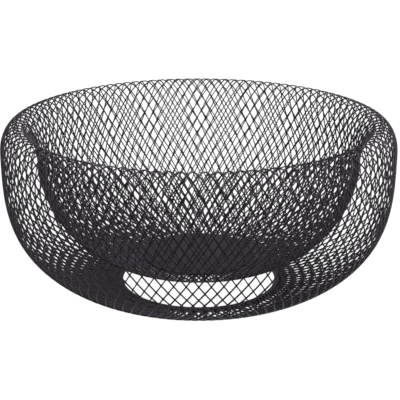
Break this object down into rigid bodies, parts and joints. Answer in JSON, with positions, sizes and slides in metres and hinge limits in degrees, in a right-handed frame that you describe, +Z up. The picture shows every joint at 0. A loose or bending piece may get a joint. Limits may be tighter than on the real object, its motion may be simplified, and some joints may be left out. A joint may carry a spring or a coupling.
{
  "type": "mesh basket",
  "caption": "Round double-walled basket of open diamond mesh, with a rolled rim, a flat ring under its open foot and a small solid plate at the bottom of the bowl.",
  "frame": {"origin": "on the basket's axis, at the level of the table under the foot ring", "axes": "+Z up along the basket's axis; the picture is taken from the -Y side"},
  "size_m": [0.2998, 0.2998, 0.131],
  "materials": {
    "mesh_coat": "satin black powder coat",
    "ring_coat": "satin black powder coat",
    "plate_coat": "smooth black powder coat"
  },
  "bodies": {
    "root": {"lower_wall": "mesh_coat", "upper_wall": "mesh_coat", "rolled_rim": "mesh_coat", "upper_bowl": "mesh_coat", "lower_bowl": "mesh_coat", "foot_ring": "ring_coat", "floor_plate": "plate_coat"}
  },
  "joints": []
}
